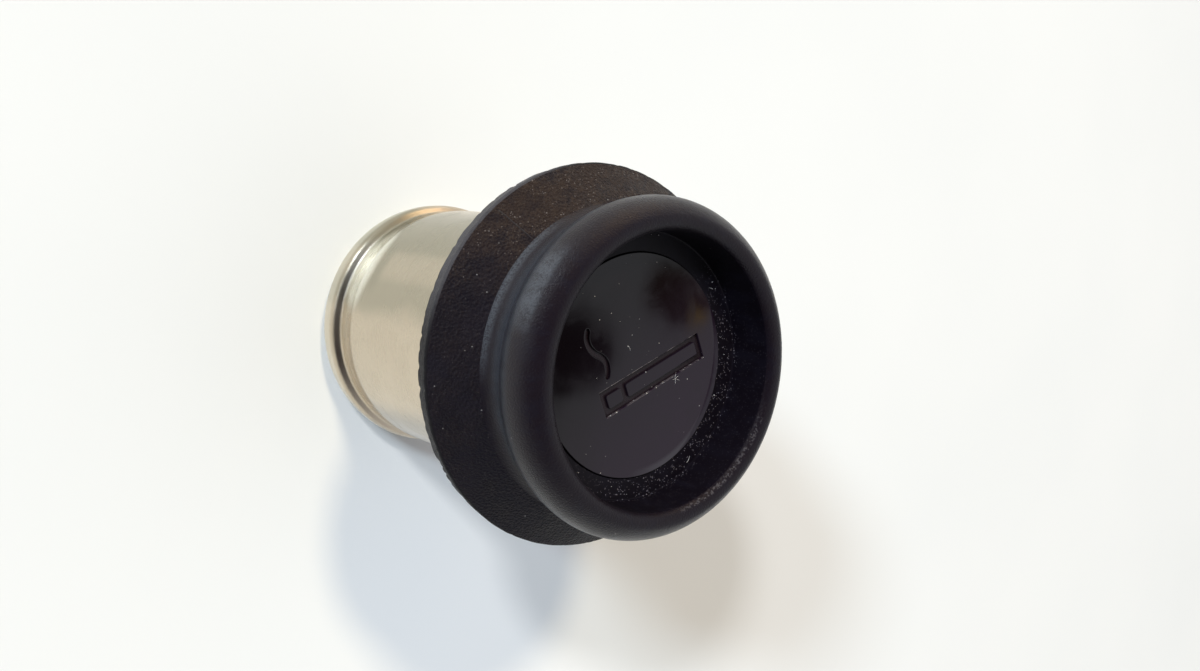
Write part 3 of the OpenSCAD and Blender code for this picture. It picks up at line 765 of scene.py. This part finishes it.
def buildFace():
    inner = sign["length"] - 2 * sign["groove"]
    body = inner - sign["tip"] - sign["groove"]
    islandWidth = sign["width"] - 2 * sign["groove"]
    edge = sign["edge"]  # the rounded edge grows outwards from each outline, so outlines are drawn that much in
    rimR = disc["radius"] - edge
    turns = [2 * math.pi * k / disc["sides"] for k in range(disc["sides"])]
    outlines = [
        [Vector((rimR * math.cos(a), rimR * math.sin(a))) for a in turns],
        boxOutline(sign["length"] + 2 * edge, sign["width"] + 2 * edge, 0),
        boxOutline(sign["tip"] - 2 * edge, islandWidth - 2 * edge, -inner / 2 + sign["tip"] / 2),
        boxOutline(body - 2 * edge, islandWidth - 2 * edge, inner / 2 - body / 2),
        ribbonOutline(smoothPath(sign["wisp"], 8), sign["wispWidth"] + 2 * edge),
    ]
    # one flat curve: filled disc, cut grooves and the pieces left standing in them
    line = bpy.data.curves.new("facePlate", "CURVE")
    line.dimensions = "2D"
    line.fill_mode = "BOTH"
    line.extrude = sign["depth"] / 2 * mm
    line.bevel_depth = edge * mm
    line.bevel_resolution = 2
    for points in outlines:
        spline = line.splines.new("POLY")
        spline.points.add(len(points) - 1)
        for target, p in zip(spline.points, points):
            target.co = (p.x * mm, p.y * mm, 0, 1)
        spline.use_cyclic_u = True
    holder = linked("facePlate", line)
    holder.location = (0, 0, (disc["top"] - sign["depth"] / 2 - edge) * mm)
    bpy.context.view_layer.update()
    mesh = bpy.data.meshes.new_from_object(holder.evaluated_get(bpy.context.evaluated_depsgraph_get()))
    mesh.transform(holder.matrix_world)
    bpy.data.objects.remove(holder)
    mesh.polygons.foreach_set("use_smooth", [False] * len(mesh.polygons))
    plate = linked("facePlate", mesh)
    mesh.materials.clear()
    unturn = Matrix.Rotation(-math.radians(sign["turn"]), 2)
    for face in mesh.polygons:
        u, v = unturn @ (face.center.xy / mm - Vector(sign["centre"]))
        longEdge = abs(u) < sign["length"] / 2 and -0.01 < abs(v) - sign["width"] / 2 < edge * 2
        side = face.center.xy.length / mm > disc["radius"] - edge - 0.015
        face.material_index = 2 if side else 1 if longEdge and abs(face.normal.z) < 0.98 else 0
    dressed(plate, "plunger", [finishes[n] for n in ("gloss", "cutEdge", "edge")], "gloss_black", "face_insert")
    low = disc["top"] - sign["depth"] - 2 * edge + 0.005
    backR = disc["radius"] - disc["inset"]
    back = revolved("faceBack", rounded([
        (0, disc["bossZ"]), (disc["bossR"], disc["bossZ"], 0.1), (disc["bossR"], disc["seat"]),
        (backR, disc["seat"], 0.05), (backR, low, 0.01), (0, low)]),
        224, 40, lambda r, z: 1 if z > low - 0.02 else 2 if r > backR - 0.04 else 0)
    dressed(back, "plunger", [finishes[n] for n in ("gloss", "cut", "edge")], "gloss_black", "face_insert")


buildFace()
print("face insert and its sign built")


# loose flecks that lie in the recess: short fibres, some of them in a star, and crumbs
lint = {
    "seed": 12, "fibreR": 0.014, "crumbs": 24, "crumbR": (0.022, 0.055), "tint": (0.55, 0.53, 0.52),
    "star": (0.42, 3.90), "rays": [(0.36, 15), (0.44, 80), (0.32, 150), (0.38, 215), (0.28, 295)],
    "fibres": [(-1.30, -1.10, disc["top"], 0.35, 50), (5.9, 6.9, knob["floor"], 0.6, 15),
               (-6.6, 5.6, knob["floor"], 0.5, 110)],
    "onDisc": (1, 7.6), "onFloor": (8.3, 9.4), "bends": 8, "sides": 5,
}


def lintFinish():
    material, finish = newFinish("lint")
    grit = finish.noise(finish.place(), 0.05, 2)
    tone = finish.blend(finish.fade(grit, 0.35, 0.65), lint["tint"], [c * 0.6 for c in lint["tint"]])
    finish.surface(Base_Color=tone, Roughness=finish.fade(grit, 0.3, 0.7, 0.7, 0.9))
    return material


def buildLint():
    dice = random.Random(lint["seed"])
    shape = bmesh.new()
    bends = lint["bends"]
    rays = [(*lint["star"], disc["top"], length, angle) for length, angle in lint["rays"]]
    for x, y, z, length, angle in rays + lint["fibres"]:
        bend = dice.uniform(-1.2, 1.2)
        path, a, spot = [], math.radians(angle), Vector((x, y, z + lint["fibreR"]))
        for step in range(bends + 1):
            path.append(spot.copy())
            a += bend / bends
            spot += Vector((math.cos(a), math.sin(a), dice.uniform(-0.05, 0.16))) * length / bends
        side, up = Vector((-math.sin(a), math.cos(a), 0)), Vector((0, 0, 1))
        turns = [2 * math.pi * j / lint["sides"] for j in range(lint["sides"])]
        rings = []
        for k, here in enumerate(path):
            thick = lint["fibreR"] * (1 if 0 < k < bends else 0.4)
            rings.append([shape.verts.new((here + (side * math.cos(t) + up * math.sin(t)) * thick) * mm)
                          for t in turns])
        skinned(shape, rings)
    for k in range(lint["crumbs"]):
        size = dice.uniform(*lint["crumbR"])
        onDisc = k % 3 == 0
        radius = dice.uniform(*lint["onDisc" if onDisc else "onFloor"])
        a = dice.uniform(0, 2 * math.pi)
        level = disc["top"] if onDisc else knob["floor"]
        where = Vector((radius * math.cos(a), radius * math.sin(a), level + size * 0.4))
        turn = Matrix.Rotation(dice.uniform(0, 3), 4, Vector((dice.random(), dice.random(), 1)))
        crumb = bmesh.ops.create_icosphere(shape, subdivisions=1, radius=size * mm,
                                           matrix=Matrix.Translation(where * mm) @ turn)["verts"]
        for vertex in crumb:
            vertex.co += (vertex.co - where * mm) * dice.uniform(-0.35, 0.25)
    bmesh.ops.recalc_face_normals(shape, faces=shape.faces)
    dressed(placed("faceLint", shape), "plunger", finishes["lint"], "knob_plastic")


finishes["lint"] = lintFinish()
buildLint()


# inner pieces, turned with small rounds on their edges
turned = {
    "guideCup": ("guide_cup", "barrel_group", "nickel", "nickel", [
        (3.3, 10.0, 0.05), (7.0, 10.0, 0.8), (7.0, 22.8, 0.3), (8.8, 22.8, 0.15), (8.8, 23.2, 0.15),
        (6.6, 23.2, 0.5), (6.6, 10.4, 0.4), (3.3, 10.4, 0.05)]),
    "slipWasher": ("slip_washer", "slip_ring", "plainSteel", "plain_steel", [
        (5.3, 27.4, 0.06), (6.4, 27.4, 0.1), (6.4, 28.0, 0.1), (5.3, 28.0, 0.06)]),
    "flatWasher": ("flat_washer", "plunger", "plainSteel", "plain_steel", [
        (2.0, 24.6, 0.04), (4.0, 24.6, 0.08), (4.0, 25.1, 0.08), (2.0, 25.1, 0.04)]),
    "stopRing": ("stop_ring", "plunger", "plainSteel", "plain_steel", [
        (3.0, 9.0, 0.03), (5.2, 9.0, 0.15), (5.2, 9.95, 0.15), (3.0, 9.95, 0.03)]),
    "stemPin": ("stem", "plunger", "plainSteel", "plain_steel", [
        (1.7, 8.0, 0.03), (3.0, 8.0, 0.1), (3.0, 19.8, 0.1), (2.0, 19.8, 0.05), (2.0, 28.0, 0.1),
        (1.7, 28.3, 0.1), (0, 28.3), (0, 12.0), (1.7, 12.0, 0.05)]),
    "heatShield": ("heat_shield", "plunger", "heatSteel", "heat_steel", [
        (1.7, 7.6, 0.04), (7.4, 7.6, 0.25), (8.0, 7.2, 0.1), (8.0, 7.0, 0.1), (8.4, 7.0, 0.1),
        (8.4, 8.0, 1.0), (1.7, 8.0, 0.04)]),
    "ceramicCore": ("ceramic_insulator", "plunger", "steatite", "steatite", [
        (1.7, 4.4, 0.05), (2.3, 4.4, 0.1), (2.3, 5.2, 0.1), (5.2, 5.2, 0.3), (5.2, 7.6, 0.3), (1.7, 7.6, 0.05)]),
    "micaOuter": ("mica_outer", "plunger", "mica", "mica", [
        (2.3, 4.8, 0.05), (6.0, 4.8, 0.08), (6.0, 5.2, 0.08), (2.3, 5.2, 0.05)]),
    "micaInner": ("mica_inner", "plunger", "mica", "mica", [
        (1.7, 4.0, 0.05), (6.0, 4.0, 0.08), (6.0, 4.4, 0.08), (1.7, 4.4, 0.05)]),
    "centreRivet": ("centre_rivet", "plunger", "nickel", "nickel", [
        (0, 1.9), (1.4, 1.9, 0.6), (2.5, 2.1, 0.2), (2.5, 2.5, 0.08), (1.7, 2.5, 0.08), (1.7, 12.0, 0.1), (0, 12.0)]),
}
for name, (node, body, finish, slotName, profile) in turned.items():
    dressed(revolved(name, rounded(profile)), body, finishes[finish], slotName, node)


cup = {"boreR": 2.3, "floor": 4.4, "top": 4.8, "innerR": 6.6, "outerR": 7.0, "mouth": (2.2, 1.75), "side": 2.6,
       "bead": (7.0, 1.95, 0.45), "beadTurn": (207, 417)}


def buildCup():  # the shell that holds the glowing ribbon, with a round bead at its rim
    c = cup
    corners = [(c["boreR"], c["floor"], 0.05), (c["innerR"], c["floor"], 0.4)]
    corners += [(c["innerR"], z) for z in c["mouth"]]
    corners += arc(*c["bead"], *c["beadTurn"], 20)[2:]
    corners += [(c["outerR"], c["side"]), (c["outerR"], c["top"], 0.8), (c["boreR"], c["top"], 0.05)]
    dressed(revolved("elementCup", rounded(corners)), "plunger", finishes["heatSteel"], "heat_steel", "element_cup")


buildCup()


spring = {"meanR": 5.9, "wire": 0.8, "turns": 7, "low": 10.4, "high": 27.4, "travel": 4.0, "gap": 0.02,
          "closed": 1.08, "steps": 48, "sides": 12}


def tube(name, path, radius, sides):
    shape = bmesh.new()
    rings = []
    for k, p in enumerate(path):
        along = (path[min(k + 1, len(path) - 1)] - path[max(k - 1, 0)]).normalized()
        out = Vector((p.x, p.y, 0)).normalized()
        up = along.cross(out).normalized()
        out = up.cross(along)
        rings.append([shape.verts.new(p + (out * math.cos(2 * math.pi * j / sides)
                                           + up * math.sin(2 * math.pi * j / sides)) * radius) for j in range(sides)])
    skinned(shape, rings)
    bmesh.ops.recalc_face_normals(shape, faces=shape.faces)
    return placed(name, shape, 50)


def buildSpring():
    s = spring
    low = s["low"] + s["wire"] / 2 + s["gap"]
    rise = s["high"] - s["wire"] / 2 - s["gap"] - low
    closed = s["wire"] * s["closed"]  # the pitch of the closed end turns
    path = []
    for k in range(s["turns"] * s["steps"] + 1):
        turn = k / s["steps"]
        if turn < 1:
            lift = closed * turn
        elif turn > s["turns"] - 1:
            lift = rise - closed * (s["turns"] - turn)
        else:
            lift = closed + (rise - 2 * closed) * (turn - 1) / (s["turns"] - 2)
        a = 2 * math.pi * turn
        path.append(Vector((s["meanR"] * math.cos(a), s["meanR"] * math.sin(a), low + lift)) * mm)
    piece = tube("pressSpring", path, s["wire"] / 2 * mm, s["sides"])
    dressed(piece, "barrel_group", finishes["springSteel"], "spring_steel", "return_spring")
    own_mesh(piece)


buildSpring()

# these keep their CAD shape and take a finish
for name, finish in (("knob_nut", "yellowZinc"), ("lock_washer", "springSteel"), ("heating_coil", "coil")):
    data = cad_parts[name].data
    data.materials.clear()
    data.materials.append(finishes[finish])
print("inner pieces built")


# floor, lights, camera

ground = {"radius": 1.6, "drop": 0.02, "tones": [(0.86, 0.868, 0.860), (0.83, 0.842, 0.838)], "rough": (0.36, 0.44)}


def buildFloor():
    material, finish = newFinish("paleFloor")
    spot = finish.place()
    broad = finish.noise(spot, 60, 3, 0.5)
    fine = finish.noise(spot, 1.5, 3, 0.6)
    tone = finish.blend(finish.fade(broad, 0.3, 0.7), *ground["tones"])
    finish.surface(Base_Color=tone, Roughness=finish.fade(fine, 0.2, 0.8, *ground["rough"]), Specular_IOR_Level=0.3)
    shape = bmesh.new()
    bmesh.ops.create_circle(shape, cap_ends=True, segments=96, radius=ground["radius"])
    floor = placed("floor", shape)
    floor.location.z = -ground["drop"] * mm
    floor.data.materials.append(material)


studio = {
    # name, direction (azimuth, elevation), distance, size, power, tint, seen in reflections
    "panels": [
        ("warmKey", -154, 51, 3.0, 0.36, 38.5, (1.0, 0.84, 0.57), False),
        ("coolKey", -112, 27, 3.0, 0.48, 58, (0.71, 0.865, 1.0), False),
        ("softKey", -122, 36, 3.0, 0.32, 40.5, (0.96, 0.98, 1.0), False),
        ("amberBack", 174, 9, 1.5, 0.66, 3.2, (1.0, 0.74, 0.48), True),
        ("coolLow", -127, 0, 0.9, 0.20, 1.9, (0.84, 0.92, 1.0), True),
        ("coolSide", -98, 0, 1.1, 0.18, 0.8, (0.76, 0.87, 1.0), True),
    ],
    "near": (0.15, 0.15, 0.165), "far": (0.60, 0.61, 0.645),
    # soft patches that the face and the metal mirror: tone, direction, stretch, and where they fade out
    "patches": [
        ((0.035, 0.031, 0.038), (0.150, -0.860, 0.488), (1, 1, 1), 0.55, 0.92),
        ((1.05, 1.0, 0.90), (-0.850, -0.452, 0.270), (1, 1, 1), 0.173, 0.316),
        ((0.03, 0.025, 0.03), (0.0215, 0.735, 0.678), (4, 1, 1), 0.058, 0.080),
        ((0.066, 0.040, 0.012), (0.0570, 0.628, 0.776), (4, 1, 1), 0.048, 0.060),
        ((1.20, 0.80, 0.14), (0.0500, 0.600, 0.7985), (5, 1, 1), 0.010, 0.024),
    ],
    "slope": (0.25, 1, 0.2), "aim": (0, 0, 0.02),
}


def heading(azimuth, elevation):
    a, e = math.radians(azimuth), math.radians(elevation)
    return Vector((math.cos(e) * math.cos(a), math.cos(e) * math.sin(a), math.sin(e)))


def buildLights():
    for name, azimuth, elevation, distance, size, power, tint, mirrored in studio["panels"]:
        lamp = bpy.data.lights.new(name, "AREA")
        lamp.shape = "DISK"
        lamp.size = size
        lamp.energy = power
        lamp.color = tint
        holder = linked(name, lamp)
        holder.location = Vector(studio["aim"]) + heading(azimuth, elevation) * distance
        holder.rotation_euler = heading(azimuth, elevation).to_track_quat("Z", "Y").to_euler()
        holder.visible_glossy = mirrored
    world = bpy.data.worlds.new("softRoom")
    world.use_nodes = True
    bpy.context.scene.world = world
    finish = Finish(world.node_tree)
    towards = finish.node("TexCoord", output="Generated")
    room = finish.blend(finish.fade(finish.facing(towards, studio["slope"]), -0.35, 0.7), studio["near"], studio["far"])
    uneven = finish.noise(towards, 0.022, 2, 0.6)
    for tone, aim, stretch, near, far in studio["patches"]:
        away = finish.node("VectorMath", {"operation": "SUBTRACT"}, {0: towards, 1: aim})
        reach = finish.node("VectorMath", {"operation": "LENGTH"}, {0: finish.stretch(away, stretch)}, "Value")
        room = finish.blend(finish.fade(reach + (uneven - 0.5) * far * 0.5, near, far, 1, 0), room, tone)
    sky = finish.node("Background", None, {"Color": room, "Strength": 1.0})
    finish.node("OutputWorld", None, {"Surface": sky})


# the photo's camera: where it is, which way its back faces, and its roll, as the plug lies on its side there
view = {"at": (-1.648, -54.288, 91.242), "azimuth": -90.0, "elevation": 50.6, "roll": 100.8,
        "lens": 34.77, "sensor": 36, "clip": (0.002, 10)}


def buildCamera():
    back, level = heading(view["azimuth"], view["elevation"]), heading(view["azimuth"] + 90, 0)
    right = Matrix.Rotation(math.radians(view["roll"]), 3, back) @ level
    data = bpy.data.cameras.new("photoCamera")
    data.lens = view["lens"]
    data.sensor_width = view["sensor"]
    data.clip_start, data.clip_end = view["clip"]
    camera = linked("photoCamera", data)
    turn = Matrix((right, back.cross(right), back)).transposed()
    camera.matrix_world = Matrix.Translation(Vector(view["at"]) * mm) @ turn.to_4x4()
    bpy.context.scene.camera = camera
    bpy.context.scene.view_settings.view_transform = "Standard"


buildFloor()
buildLights()
buildCamera()
print("stage set")
